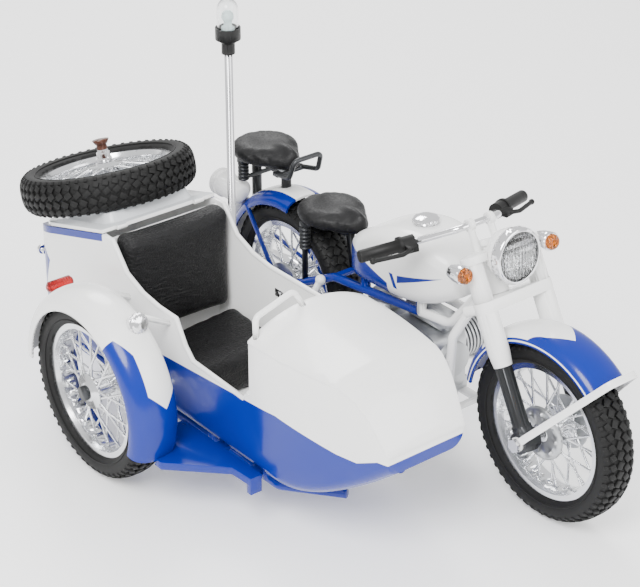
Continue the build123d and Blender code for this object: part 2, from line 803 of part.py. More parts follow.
def final_drive():
    """Bevel housing between the rear hub and the frame lug."""
    y = -(HUB_HALF + 0.5)
    housing = rod((0, y, TYRE_R), (0, y - 1.3, TYRE_R), 9.0)
    housing += rod((0, y, TYRE_R), (0, y + 0.3, TYRE_R), 4.6)
    return housing - rod((0, y + 1, TYRE_R), (0, y - 8, TYRE_R), AXLE_R)


def rear_axle_and_nuts():
    return Pos(0, 0, TYRE_R) * axle(FRAME_HALF + FRAME_TUBE_R)


def fuel_tank():
    """Teardrop tank over the frame's spine."""
    sections = [
        (39.0, 5.0, 57.5, 69.0, 2.4),
        (47.0, 11.0, 57.0, 76.0, 4.5),
        (62.0, 13.8, 58.5, 84.0, 6.0),
        (78.0, 14.0, 60.0, 87.4, 6.5),
        (90.0, 12.0, 63.5, 85.6, 6.0),
        (98.0, 8.0, 68.0, 80.5, 4.5),
    ]
    faces = []
    for x, half, low, high, corner in sections:
        centre = Plane(origin=(x, 0, (low + high) / 2), x_dir=(0, 1, 0), z_dir=(1, 0, 0))
        faces.append(centre * RectangleRounded(2 * half, high - low, corner))
    return loft(faces)


TANK_TOP = 87.0
TANK_CAP_X = 73.5


def tank_cap():
    """Domed filler cap on a short neck."""
    plane = Plane(origin=(TANK_CAP_X, 0, TANK_TOP), x_dir=(1, 0, 0), z_dir=(-0.08, 0, 1))
    return turned(
        [(0, -1.6), (4.2, -1.6), (4.2, 0.4), (5.0, 0.6), (5.0, 1.7), (4.2, 2.5), (2.2, 3.2), (0, 3.4)],
        plane,
    )


def saddle(x, z, tilt, length, width, nose, thick):
    """Soft saddle pad: broad behind, narrow in front."""
    outline = make_hull(
        [
            *(Pos(-length / 2 + width / 2, 0) * Circle(width / 2)).edges(),
            *(Pos(length / 2 - nose / 2, 0) * Circle(nose / 2)).edges(),
        ]
    )
    pad = extrude(outline, thick)
    pad = fillet(pad.edges(), thick * 0.42)
    return Pos(x, 0, z) * Rot(0, tilt, 0) * pad


RIDER_X, RIDER_Z = 23.0, 68.6
PILLION_X, PILLION_Z = -18.0, 80.4
SADDLE_LENGTH, SADDLE_WIDTH, SADDLE_NOSE, SADDLE_THICK = 31.0, 25.0, 9.0, 5.6


def rider_saddle():
    return saddle(RIDER_X, RIDER_Z, 0, SADDLE_LENGTH, SADDLE_WIDTH, SADDLE_NOSE, SADDLE_THICK)


def pillion_saddle():
    return saddle(PILLION_X, PILLION_Z, 0, SADDLE_LENGTH, SADDLE_WIDTH, SADDLE_NOSE, SADDLE_THICK)


def coil(x, y, low, high):
    """Saddle spring, drawn as a stack of turns about a core."""
    spring = cylinder_at(x, y, low, high, 1.5)
    turns = int((high - low) / 1.5)
    for index in range(turns):
        z = low + 0.3 + index * (high - low) / turns
        spring += cylinder_at(x, y, z, z + 0.8, 2.2)
    return spring


def rider_bracket():
    """Nose pivot, cross bar and rear springs under the rider's saddle."""
    top = RIDER_Z - SOFT_GAP
    x = RIDER_X - 7
    bracket = Pos(RIDER_X - 1, 0, top - 0.9) * Box(20, 7, 1.8)
    bracket += Pos(x, 0, top - 0.9) * Box(3, 2 * FRAME_HALF + 3, 1.8)
    for side in (1, -1):
        bracket += coil(x, side * FRAME_HALF, 57.0, top - 1.8)
        bracket += cylinder_at(x, side * FRAME_HALF, 42.0, 57.0, 1.2)
    return bracket + rod((34.0, 0, 52.0), (RIDER_X + 8, 0, top - 1.0), 1.7)


def pillion_bracket():
    """Plate, springs and grab loop of the pillion saddle, carried on the rear fender."""
    top = PILLION_Z - SOFT_GAP
    base = Pos(PILLION_X, 0, top - 1.0) * Box(26, 9, 2.0)
    base += Pos(PILLION_X - 7, 0, top - 1.0) * Box(3, 20, 2.0)
    for x in (PILLION_X - 9, PILLION_X + 10):
        base += cylinder_at(x, 0, TYRE_R + REAR_FENDER_SKIRT * 0.8, top - 1.0, 2.0)
    base -= rear_house()
    base += rod((PILLION_X - 7, -8.8, top - 8.7), (PILLION_X - 7, 8.8, top - 8.7), 0.9)
    for side in (1, -1):
        base += coil(PILLION_X - 7, side * 8.0, top - 9.5, top - 2.0)
    front = PILLION_X + 12.0
    loop = [
        (front, -6.0, top - 1.1),
        (front + 9.0, -7.0, top + 0.8),
        (front + 11.5, -6.5, top + 8.5),
        (front + 11.5, 6.5, top + 8.5),
        (front + 9.0, 7.0, top + 0.8),
        (front, 6.0, top - 1.1),
    ]
    base += bent_rod(loop, 1.0, 2.4)
    return base + Pos(front, 0, top - 1.1) * Box(3, 14, 1.4)


def rear_siren():
    """Ringed siren drum on a foot behind the pillion."""
    x, y, z, radius = -34.0, -8.2, 64.5, 5.0
    drum = rod((x - 7, y, z), (x + 7, y, z), radius)
    for offset in (-6.5, -3.5):
        drum += rod((x + offset, y, z), (x + offset + 0.9, y, z), radius + 0.6)
    drum += rod((x + 7, y, z), (x + 9, y, z), radius, 2.6)
    drum += Pos(x + 4, y + 2.5, z - 8) * Box(5, 4, 10)
    return drum - rear_house()


# ---------------------------------------------------------------- sidecar


def tub_half_at(x):
    """Half width of the sidecar body at x: straight sides, then a tapered nose."""
    if x <= 88.0:
        return TUB_HALF
    share = (x - 88.0) / (NOSE_X - 88.0)
    return TUB_HALF - 9.2 * share**1.6


def tub_low_at(x):
    """Height of the keel at x: level, then rising to the nose."""
    if x <= 98.0:
        return TUB_FLOOR_Z
    share = (x - 98.0) / (NOSE_X - 98.0)
    return TUB_FLOOR_Z + 24.5 * share**1.5


def deck_edge_at(x):
    """Height of the seam between body side and deck."""
    if x <= 122.0:
        return DECK_Z
    share = (x - 122.0) / (NOSE_X - 122.0)
    return DECK_Z - 19.0 * share**1.9


def boot_top_at(x):
    """Height of the boot's upper edge, falling to the rear."""
    return BOOT_FRONT_Z - (BOOT_HINGE_X - x) * sin(radians(BOOT_SLOPE)) / cos(radians(BOOT_SLOPE))


def u_section(x, half, low, top, corner):
    """Body section across X: flat sides, floor, and rounded chines."""
    y0 = SIDECAR_CENTRE_Y
    k = corner * (1 - sqrt(0.5))
    outline = [
        Line((x, y0 - half, top), (x, y0 - half, low + corner)),
        ThreePointArc((x, y0 - half, low + corner), (x, y0 - half + k, low + k), (x, y0 - half + corner, low)),
        Line((x, y0 - half + corner, low), (x, y0 + half - corner, low)),
        ThreePointArc((x, y0 + half - corner, low), (x, y0 + half - k, low + k), (x, y0 + half, low + corner)),
        Line((x, y0 + half, low + corner), (x, y0 + half, top)),
        Line((x, y0 + half, top), (x, y0 - half, top)),
    ]
    return make_face(outline)


def hull_of(inset, end_inset):
    """Lofted body from boot to nose, moved inwards by the wall."""
    rear = TUB_REAR_X + end_inset
    front = NOSE_X - end_inset
    corner = 5.5 - inset
    body = []
    for x in (-44.0, BOOT_HINGE_X, 20.0, 88.0):
        body.append(u_section(x, TUB_HALF - inset, TUB_FLOOR_Z + inset, 80.0, corner))
    middle = loft(body, ruled=True)
    nose = [
        u_section(x, tub_half_at(x) - inset, tub_low_at(x) + inset, 80.0, corner)
        for x in (88.0, 104.0, 120.0, 133.0, front)
    ]
    tail = []
    for x, side_in, rise in ((rear, 6.0, 15.0), (rear + 3.0, 2.6, 7.0), (rear + 7.5, 0.6, 2.0), (-44.0, 0.0, 0.0)):
        tail.append(u_section(x, TUB_HALF - inset - side_in, TUB_FLOOR_Z + inset + rise, 80.0, corner))
    return middle + loft(nose) + loft(tail)


def above_cut(lower):
    """Everything above the body's upper edge; lower drops the cut for inner faces."""
    y_low, y_high = TUB_OUT_Y - 2, TUB_IN_Y + 2
    edge = [
        (TUB_REAR_X - 4, 46.0),
        (TUB_REAR_X, 50.0),
        (TUB_REAR_X + 3.5, boot_top_at(TUB_REAR_X + 12) - 2.5),
        (TUB_REAR_X + 11.0, boot_top_at(TUB_REAR_X + 11.0)),
        (BOOT_HINGE_X, BOOT_FRONT_Z),
        (COCKPIT_REAR_X, BOOT_FRONT_Z),
        (6.0, 66.5),
        (16.0, 62.5),
        (26.0, COAMING_Z),
        (COCKPIT_FRONT_X, COAMING_Z),
        (COCKPIT_FRONT_X, DECK_Z),
    ]
    edge += [(x, deck_edge_at(x)) for x in (122.0, 129.0, 135.0, 139.0, NOSE_X)]
    edge += [(NOSE_X + 4, deck_edge_at(NOSE_X)), (NOSE_X + 4, 100.0), (TUB_REAR_X - 4, 100.0)]
    face = Plane.XZ * make_face(Polyline(*[(x, z - lower) for x, z in edge], close=True))
    return Pos(0, y_high, 0) * extrude(face, y_high - y_low)


def sidecar_tub():
    """Open-topped body shell: boot, cockpit with low entry side, and nose under the deck."""
    shell = hull_of(0.0, 0.0) - hull_of(TUB_WALL, TUB_WALL)
    shell -= above_cut(0.0)
    door = Plane.XZ * make_face(
        Polyline(
            (DOOR_REAR_X - 6, COAMING_Z + 6),
            (DOOR_REAR_X - 3, COAMING_Z - 1.5),
            (DOOR_REAR_X + 1.5, 52.0),
            (DOOR_REAR_X + 6, DOOR_SILL_Z + 1.2),
            (COCKPIT_FRONT_X - 4, DOOR_SILL_Z),
            (COCKPIT_FRONT_X, DOOR_SILL_Z + 3.5),
            (COCKPIT_FRONT_X, COAMING_Z + 6),
            close=True,
        )
    )
    shell -= Pos(0, TUB_OUT_Y + 4, 0) * extrude(door, 8)
    back_y = SIDECAR_CENTRE_Y
    partition = Pos(BOOT_HINGE_X + 2.0, back_y, (TUB_FLOOR_Z + BOOT_FRONT_Z) / 2) * Box(
        1.4, 2 * (TUB_HALF - TUB_WALL), BOOT_FRONT_Z - TUB_FLOOR_Z - 2 * TUB_WALL
    )
    return shell + partition


def deck_section(x, half, low, edge, crown):
    """Section of the deck at x: flat underside, short sides, arched top."""
    y0 = SIDECAR_CENTRE_Y
    return make_face(
        [
            Line((x, y0 - half, low), (x, y0 + half, low)),
            Line((x, y0 + half, low), (x, y0 + half, edge)),
            ThreePointArc((x, y0 + half, edge), (x, y0, edge + crown), (x, y0 - half, edge)),
            Line((x, y0 - half, edge), (x, y0 - half, low)),
        ]
    )


def deck_crown_at(x):
    """Rise of the deck's arch over its edges at x."""
    share = (x - COCKPIT_FRONT_X) / (NOSE_X - COCKPIT_FRONT_X)
    return 2.0 + (DECK_CROWN - 1.0) * max(1 - share, 0.0) ** 2


def sidecar_deck():
    """Arched deck over the nose, closed at the front and open to the cockpit."""
    stations = [COCKPIT_FRONT_X + step * 6.0 for step in range(8)]
    stations += [126.0, 130.0, 133.5, 136.5, 139.0, 141.0, NOSE_X + 0.3]
    outer = []
    for x in stations:
        edge = deck_edge_at(min(x, NOSE_X))
        outer.append(deck_section(x, tub_half_at(x) + 0.25, edge - 8.0, edge + 0.9, deck_crown_at(x)))
    hollow = []
    for x in [COCKPIT_FRONT_X - 1.0, *stations[1:-3]]:
        edge = deck_edge_at(x) - 0.5
        hollow.append(deck_section(x, tub_half_at(x) - TUB_WALL - 0.4, edge - 12.0, edge, deck_crown_at(x)))
    return (loft(outer, ruled=True) - loft(hollow, ruled=True)) & above_cut(0.0)


def grab_rail():
    """White handle loop on the deck's front edge, beside the entry."""
    x = COCKPIT_FRONT_X + 1.6
    low = DECK_Z + 0.8
    y_out = TUB_OUT_Y + 2.2
    y_in = SIDECAR_CENTRE_Y - 3.0
    loop = [
        (x, y_out, low),
        (x - 0.6, y_out + 0.2, low + 8.6),
        (x - 0.6, y_in - 4.0, low + 13.4),
        (x, y_in, low + 6.0),
    ]
    return bent_rod(loop, 1.1, 2.6)


def soft_block(x0, x1, y0, y1, z0, z1, round_r):
    """Cushion as a plain rounded block."""
    block = Pos((x0 + x1) / 2, (y0 + y1) / 2, (z0 + z1) / 2) * Box(x1 - x0, y1 - y0, z1 - z0)
    return fillet(block.edges(), round_r)


SEAT_Y0 = TUB_OUT_Y + TUB_WALL + SOFT_GAP
SEAT_Y1 = TUB_IN_Y - TUB_WALL - SOFT_GAP


def seat_cushion():
    return soft_block(4.5, 40.0, SEAT_Y0, SEAT_Y1, TUB_FLOOR_Z + TUB_WALL + SOFT_GAP, 36.0, 3.0)


def seat_back():
    """Padded backrest against the partition, standing above the coaming."""
    x0 = BOOT_HINGE_X + 2.7 + SOFT_GAP
    return soft_block(x0, x0 + 9.0, SEAT_Y0, SEAT_Y1, 36.0 + SOFT_GAP, BOOT_FRONT_Z + 1.5, 3.0)


def boot_lid():
    """Sloping lid with the raised spare-wheel base and its hinge knuckles."""
    plane = lid_plane()
    length = (BOOT_HINGE_X - TUB_REAR_X - 11.0) / cos(radians(BOOT_SLOPE)) + 4.0
    half = TUB_HALF - 0.4
    panel = Pos(-length / 2 - 0.6, 0, LID_THICK / 2 + 0.3) * Box(length, 2 * half, LID_THICK)
    panel = fillet(panel.edges().filter_by(Axis.Z).sort_by(Axis.X)[:2], 8.0)
    base = extrude(Pos(-length / 2 + 1.0, 0, LID_THICK) * RectangleRounded(34.0, 40.0, 5.0), LID_BASE_RISE, taper=24)
    panel += base
    for side in (1, -1):
        panel += Pos(0.3, side * (half - 8.0), 0.9) * Rot(90, 0, 0) * Cylinder(LID_HINGE_R, 4.0)
        panel += Pos(-0.8, side * (half - 8.0), 1.0) * Box(2.4, 4.0, 1.2)
    return plane.location * panel


def lid_plane():
    """Plane on the boot's sloping rim: origin at the hinge line, X forwards, Z out of the lid."""
    slope = radians(BOOT_SLOPE)
    return Plane(
        origin=(BOOT_HINGE_X, SIDECAR_CENTRE_Y, BOOT_FRONT_Z),
        x_dir=(cos(slope), 0, sin(slope)),
        z_dir=(-sin(slope), 0, cos(slope)),
    )


SPARE_BACK = 32.5
SPARE_REST = 0.4


def spare_plane():
    """Plane of the spare wheel's middle, its normal along the stud."""
    base = lid_plane()
    lift = LID_THICK + LID_BASE_RISE + TYRE_HALF + SPARE_REST
    centre = base.from_local_coords(Vector(-SPARE_BACK, 0, lift))
    return Plane(origin=centre, x_dir=base.x_dir, z_dir=base.z_dir)


def spare_mount():
    """Stud through the spare wheel's hub, wing nut and cap."""
    low = -TYRE_HALF - SPARE_REST
    stud = cylinder_at(0, 0, low, HUB_HALF + 4.0, AXLE_R)
    nut = cylinder_at(0, 0, HUB_HALF + 0.2, HUB_HALF + 1.8, 3.0)
    nut += extrude(Pos(0, 0, HUB_HALF + 1.8) * RegularPolygon(2.6, 6), 2.2)
    cap = cylinder_at(0, 0, HUB_HALF + 4.0, HUB_HALF + 7.2, 2.0)
    cap += Pos(0, 0, HUB_HALF + 7.2) * Cone(2.4, 3.3, 1.6, align=(Align.CENTER, Align.CENTER, Align.MIN))
    return spare_plane().location * (stud + nut + cap)


def sidecar_chassis():
    """Perimeter tube frame under the body, with pads and the stub axle carrier."""
    z, radius = TUB_FLOOR_Z - 3.4, 1.8
    y_out, y_in = TUB_OUT_Y + 5.0, TUB_IN_Y - 3.0
    rails = [
        bent_rod([(-46.0, y_in, z), (96.0, y_in, z), (112.0, y_in - 7.0, z + 3.0)], radius, 6.0),
        bent_rod([(-46.0, y_out, z), (90.0, y_out, z), (112.0, y_out + 12.0, z + 3.0)], radius, 6.0),
    ]
    chassis = rails[0] + rails[1]
    for x in (-42.0, SIDECAR_WHEEL_X, 70.0):
        chassis += rod((x, y_out, z), (x, y_in, z), radius * 0.9)
    for x in (-30.0, 52.0, 84.0):
        for y in (y_out, y_in):
            chassis += cylinder_at(x, y, z, TUB_FLOOR_Z, 2.4)
    return chassis


def sidecar_axle():
    """Stub axle: trailing arm from the chassis, spindle and outer nut."""
    inner = SIDECAR_WHEEL_Y + HUB_HALF + 0.4
    outer = SIDECAR_WHEEL_Y - HUB_HALF - 0.2
    z = TUB_FLOOR_Z - 3.4
    arm_y = TUB_OUT_Y - 4.0
    spindle = rod((SIDECAR_WHEEL_X, arm_y, TYRE_R), (SIDECAR_WHEEL_X, outer, TYRE_R), AXLE_R)
    collar = rod((SIDECAR_WHEEL_X, arm_y + 1.5, TYRE_R), (SIDECAR_WHEEL_X, inner, TYRE_R), 3.4)
    arm = bent_rod(
        [
            (SIDECAR_WHEEL_X, arm_y, TYRE_R),
            (SIDECAR_WHEEL_X, arm_y, z),
            (SIDECAR_WHEEL_X, TUB_OUT_Y + 3.2, z),
        ],
        2.0,
        3.0,
    )
    nut = rod((SIDECAR_WHEEL_X, outer, TYRE_R), (SIDECAR_WHEEL_X, outer - 1.6, TYRE_R), 2.8)
    return spindle + collar + arm + nut


def sidecar_struts():
    """Two lower and two upper struts, ball-ended, from the sidecar chassis to the frame."""
    ball = 2.0
    low = TUB_FLOOR_Z - 3.4
    start_y = TUB_IN_Y - 1.2 + ball
    end_y = -FRAME_HALF - FRAME_TUBE_R - ball
    made = []
    for start_x, end_x, end_z in ((16.0, 18.0, 18.9), (96.0, 96.0, 18.9), (26.0, 30.0, 50.4), (78.0, 99.2, 45.0)):
        start, end = (start_x, start_y, low), (end_x, end_y, end_z)
        made.append(rod(start, end, 1.3) + Pos(*start) * Sphere(ball) + Pos(*end) * Sphere(ball))
    return made


def footboard():
    """Step plate between the fender's foot and the body, bent down at the front."""
    top, thick = 22.5, 3.0
    outline = Polyline(
        (42.0, -86.2),
        (42.0, -93.0),
        (50.0, -109.0),
        (60.0, -109.0),
        (78.0, -91.5),
        (88.0, -91.0),
        (88.0, -86.2),
        close=True,
    )
    plate = Pos(0, 0, top - thick) * extrude(make_face(outline), thick)
    plate += Pos(86.8, -88.6, top - 4.2) * Box(2.4, 4.8, 5.0)
    for x in (60.0, 80.0):
        plate += Pos(x, TUB_OUT_Y + 0.5, top - thick - 0.9) * Box(5.0, 9.0, 1.8)
    return plate - side_house()


def front_lamp_plane():
    """Plane of the parking lamp's lens, on the fender ahead of its top."""
    angle = radians(30.0)
    x = SIDECAR_WHEEL_X + (SIDE_FENDER_R - 2.0) * sin(angle)
    z = TYRE_R + (SIDE_FENDER_R - 1.6) * cos(angle)
    origin = (x + 3.4, SIDECAR_WHEEL_Y + 3.4, z + 2.2)
    return Plane(origin=origin, x_dir=(0, 1, 0), z_dir=(0.94, 0, 0.34))


def sidecar_front_lamp():
    lamp = turned(
        [(0, -5.5), (2.0, -5.2), (3.2, -3.4), (3.7, -1.0), (3.7, 0), (2.9, 0.2), (2.4, 0.8), (0, 1.2)],
        front_lamp_plane(),
    )
    return lamp - side_house()


def sidecar_rear_lamp():
    """Red-lensed marker on the fender, and a chrome-ringed tail lamp on the boot's back."""
    x, y, z = -15.5, SIDECAR_WHEEL_Y + 7.0, 58.5
    marker = rod((x, y - 4.4, z), (x, y + 4.4, z), 2.2)
    marker += rod((x, y - 5.2, z), (x, y - 4.4, z), 1.4)
    marker += rod((x, y + 4.4, z), (x, y + 5.2, z), 1.4)
    marker += rod((x, y, z), (x + 4.6, y, z - 2.8), 1.1)
    marker -= side_house()
    tail = rod((TUB_REAR_X - 2.6, TUB_OUT_Y + 9.0, 47.0), (TUB_REAR_X, TUB_OUT_Y + 9.0, 47.0), 2.6)
    tail += rod((TUB_REAR_X - 3.4, TUB_OUT_Y + 9.0, 47.0), (TUB_REAR_X - 2.6, TUB_OUT_Y + 9.0, 47.0), 1.9)
    return marker, tail


# ---------------------------------------------------------------- mast and beacon


def mast_pole():
    """Pole clipped to the body's inner side."""
    pole = cylinder_at(MAST_X, MAST_Y, MAST_BOTTOM, MAST_TOP, MAST_R)
    for z in (46.0, 58.0):
        pole += cylinder_at(MAST_X, MAST_Y, z - 1.2, z + 1.2, MAST_R + 0.7)
        pole += Pos(MAST_X, (MAST_Y + TUB_IN_Y) / 2, z) * Box(3.0, MAST_Y - TUB_IN_Y, 2.4)
    return pole


def mast_at(low, high, radius, end_radius=None):
    return rod((MAST_X, MAST_Y, low), (MAST_X, MAST_Y, high), radius, end_radius)


def beacon_base():
    """Socket and cup under the dome."""
    base = mast_at(MAST_TOP - 2.0, MAST_TOP + 2.0, 2.5)
    base += mast_at(MAST_TOP + 2.0, MAST_TOP + 3.6, 2.5, BEACON_CUP_R - 0.4)
    base += mast_at(MAST_TOP + 3.6, MAST_TOP + 8.0, BEACON_CUP_R)
    base -= mast_at(MAST_TOP + 6.6, MAST_TOP + 8.0, BEACON_CUP_R - 0.7)
    return base - mast_at(MAST_BOTTOM, MAST_TOP, MAST_R)


def beacon_dome():
    """Clear dome with a domed top."""
    low = MAST_TOP + 6.6
    shoulder = BEACON_TOP - BEACON_DOME_R
    outer = mast_at(low, shoulder, BEACON_DOME_R) + Pos(MAST_X, MAST_Y, shoulder) * Sphere(BEACON_DOME_R)
    inner_r = BEACON_DOME_R - 0.5
    inner = mast_at(low, shoulder, inner_r) + Pos(MAST_X, MAST_Y, shoulder) * Sphere(inner_r)
    return outer - inner


def beacon_bulb():
    """Bulb on its cap, inside the dome."""
    low = MAST_TOP + 6.6
    bulb = mast_at(low, low + 1.6, 2.4) + mast_at(low + 1.6, low + 4.0, 1.5)
    return bulb + Pos(MAST_X, MAST_Y, low + 5.6) * Sphere(2.3)


# ---------------------------------------------------------------- assembly


def placed(shape, *centre):
    return Pos(*centre) * shape


def build_nodes():
    """Every node of the model, by name, in the building frame."""
    the_tyre = tyre()
    the_rim = wheel_rim()
    the_drum = brake_drum()
    side_centre = (SIDECAR_WHEEL_X, SIDECAR_WHEEL_Y, TYRE_R)
    front_centre = (WHEELBASE, 0, TYRE_R)
    rear_centre = (0, 0, TYRE_R)
    flat = Rot(90, 0, 0)
    lower_yoke, upper_yoke = fork_yokes()
    marker_lamp, tail_lamp = sidecar_rear_lamp()
    return {
        "lower_yoke": lower_yoke,
        "upper_yoke": upper_yoke,
        "fork_covers": fork_covers(),
        "handlebar": handlebar(),
        "grips": grips(),
        "hand_levers": hand_levers(),
        "headlamp_shell": headlamp_shell(),
        "headlamp_rim": headlamp_rim(),
        "headlamp_reflector": headlamp_reflector(),
        "headlamp_lens": headlamp_lens(),
        "indicator_bodies": indicator_bodies(),
        "indicator_lenses": indicator_lenses(),
        "fork_legs": fork_legs(),
        "front_fender": front_fender(),
        "front_fender_stay": front_fender_stay(),
        "front_axle": front_axle(),
        "front_brake_plate": front_brake_plate(),
        "front_tyre": placed(the_tyre, *front_centre),
        "front_rim": placed(the_rim, *front_centre),
        "front_drum": placed(the_drum, *front_centre),
        "main_frame": main_frame(),
        "engine_case": engine_case(),
        "cylinders": cylinders(),
        "generator": generator(),
        "carburettors": solids_of(air_cleaner(), carburettors()),
        "exhausts": exhausts(),
        "final_drive": final_drive(),
        "rear_axle": rear_axle_and_nuts(),
        "fuel_tank": fuel_tank(),
        "tank_cap": tank_cap(),
        "rider_saddle": rider_saddle(),
        "rider_bracket": rider_bracket(),
        "pillion_saddle": pillion_saddle(),
        "pillion_bracket": pillion_bracket(),
        "rear_fender": rear_fender(),
        "rear_siren": rear_siren(),
        "sidecar_struts": solids_of(*sidecar_struts()),
        "sidecar_chassis": sidecar_chassis(),
        "footboard": footboard(),
        "sidecar_axle": sidecar_axle(),
        "sidecar_tub": sidecar_tub(),
        "sidecar_deck": sidecar_deck(),
        "grab_rail": grab_rail(),
        "seat_cushion": seat_cushion(),
        "seat_back": seat_back(),
        "mast_pole": mast_pole(),
        "beacon_base": beacon_base(),
        "beacon_dome": beacon_dome(),
        "beacon_bulb": beacon_bulb(),
        "sidecar_fender": sidecar_fender(),
        "sidecar_front_lamp": sidecar_front_lamp(),
        "sidecar_rear_lamps": solids_of(marker_lamp, tail_lamp),
        "rear_tyre": placed(the_tyre, *rear_centre),
        "rear_rim": placed(the_rim, *rear_centre),
        "sidecar_tyre": placed(the_tyre, *side_centre),
        "sidecar_rim": placed(the_rim, *side_centre),
        "boot_lid": boot_lid(),
        "spare_mount": spare_mount(),
        "spare_tyre": spare_plane().location * flat * the_tyre,
        "spare_rim": spare_plane().location * flat * the_rim,
    }


# fitting : the neighbours whose surfaces it is shaped to
SHAPED_TO = {
    "main_frame": ("fuel_tank",),
    "rear_fender": ("main_frame",),
    "sidecar_fender": ("sidecar_tub",),
    "indicator_bodies": ("fork_covers",),
    "grab_rail": ("sidecar_deck",),
    "hand_levers": ("handlebar",),
    "tank_cap": ("fuel_tank",),
    "footboard": ("sidecar_chassis",),
    "rider_bracket": ("main_frame",),
    "headlamp_shell": ("upper_yoke", "fork_covers"),
    "rear_siren": ("pillion_bracket", "rear_fender"),
}


def fitted(nodes):
    """Cut each fitting to its neighbours and keep its main pieces."""
    for name, neighbours in SHAPED_TO.items():
        pieces = []
        for piece in nodes[name].solids():
            for neighbour in neighbours:
                piece -= nodes[neighbour]
            pieces.append(piece.solids().sort_by(SortBy.VOLUME)[-1])
        nodes[name] = solids_of(*pieces)
    return nodes


def shift_to_origin(nodes):
    """Move every node so that the origin is the bottom centre of the model."""
    whole = Compound(children=[copy for node in nodes.values() for copy in node.solids()])
    box = whole.bounding_box()
    middle = Vector((box.min.X + box.max.X) / 2, (box.min.Y + box.max.Y) / 2, box.min.Z)
    return {name: Pos(-middle) * node for name, node in nodes.items()}, middle


NODES, ORIGIN = shift_to_origin(fitted(build_nodes()))

for node_name, node in NODES.items():
    export_step(node, f"parts/{node_name}.step")
print(f"{len(NODES)} nodes, origin at {ORIGIN.X:.3f}, {ORIGIN.Y:.3f}, {ORIGIN.Z:.3f}")
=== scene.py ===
import json
import math

import bpy
from mathutils import Matrix, Vector

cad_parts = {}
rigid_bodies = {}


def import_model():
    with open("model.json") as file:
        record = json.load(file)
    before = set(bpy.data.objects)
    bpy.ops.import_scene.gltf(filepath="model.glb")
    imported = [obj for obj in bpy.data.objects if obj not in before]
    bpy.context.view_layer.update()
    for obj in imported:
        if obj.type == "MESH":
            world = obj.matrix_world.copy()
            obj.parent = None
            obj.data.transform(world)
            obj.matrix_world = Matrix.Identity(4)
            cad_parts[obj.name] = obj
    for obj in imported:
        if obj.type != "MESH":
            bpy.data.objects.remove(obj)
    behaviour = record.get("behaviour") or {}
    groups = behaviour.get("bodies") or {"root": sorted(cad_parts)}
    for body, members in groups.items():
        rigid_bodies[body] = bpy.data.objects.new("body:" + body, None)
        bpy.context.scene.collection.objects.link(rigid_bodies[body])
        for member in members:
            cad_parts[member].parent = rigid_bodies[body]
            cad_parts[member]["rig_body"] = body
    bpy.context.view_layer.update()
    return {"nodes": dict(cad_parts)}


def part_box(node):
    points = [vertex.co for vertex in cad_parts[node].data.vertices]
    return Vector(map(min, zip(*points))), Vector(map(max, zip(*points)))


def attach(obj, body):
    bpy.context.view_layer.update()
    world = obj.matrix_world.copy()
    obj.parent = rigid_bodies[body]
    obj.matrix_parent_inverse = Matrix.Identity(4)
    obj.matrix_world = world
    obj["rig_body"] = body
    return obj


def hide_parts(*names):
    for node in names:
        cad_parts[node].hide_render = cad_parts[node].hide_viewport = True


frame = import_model()

MM = 0.001


def centre_of(node):
    low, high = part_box(node)
    return (low + high) / 2


# The rear wheel's centre stands at x 0, y 0 and z 34 mm in the building frame.
REAR = centre_of("rear_tyre")
TYRE_R = 34.0
WHEELBASE = (centre_of("front_tyre") - REAR).x / MM
SPARE_TILT = math.radians(16.5)
SIDE_WHEEL_X = 20.5
BODY_Y = -59.3
LID_RISE = 0.296

CAMERA_AT = (550.366, -432.669, 403.861)
CAMERA_TURN, CAMERA_LIFT = math.radians(51.163), math.radians(28.273)
LENS_MM, FILM_MM = 112.5, 36.0


def at(x, y, z):
    """A building-frame point in millimetres, as a point of the model in metres."""
    return REAR + Vector((x, y, z - TYRE_R)) * MM


# ------------------------------------------------------------ camera and light


def set_camera():
    data = bpy.data.cameras.new("camera")
    data.lens, data.sensor_width = LENS_MM, FILM_MM
    data.clip_start, data.clip_end = 0.05, 20.0
    camera = bpy.data.objects.new("camera", data)
    bpy.context.scene.collection.objects.link(camera)
    bpy.context.scene.camera = camera
    level = math.cos(CAMERA_LIFT)
    back = Vector((math.sin(CAMERA_TURN) * level, -math.cos(CAMERA_TURN) * level, math.sin(CAMERA_LIFT)))
    camera.location = at(*CAMERA_AT)
    camera.rotation_mode = "QUATERNION"
    camera.rotation_quaternion = (-back).to_track_quat("-Z", "Y")


def area_light(name, place, size, power):
    data = bpy.data.lights.new(name, "AREA")
    data.shape, data.size, data.energy = "DISK", size, power
    lamp = bpy.data.objects.new(name, data)
    lamp.location = place
    lamp.rotation_euler = (-Vector(place)).to_track_quat("-Z", "Y").to_euler()
    bpy.context.scene.collection.objects.link(lamp)


def set_stage():
    world = bpy.data.worlds.new("studio")
    world.use_nodes = True
    world.node_tree.nodes["Background"].inputs["Color"].default_value = (1, 1, 1, 1)
    world.node_tree.nodes["Background"].inputs["Strength"].default_value = 1.2
    bpy.context.scene.world = world
    area_light("key", (0.35, -0.55, 0.75), 0.5, 13.0)
    area_light("fill", (0.8, 0.35, 0.5), 0.6, 5.0)
    area_light("rim", (-0.6, 0.3, 0.7), 0.4, 6.0)
    clear()
    bpy.ops.mesh.primitive_plane_add(size=6.0, location=(0, 0, -0.0002))
    floor = bpy.context.object
    floor.name = "floor"
    look = Look("floor_paper", base_color=PAPER, emission_color=(1.0, 1.0, 1.0), emission_strength=0.3)
    look.set("Roughness", look.noise(30.0) * 0.1 + 0.55)
    floor.data.materials.append(look.mat)


# ------------------------------------------------------------ node materials


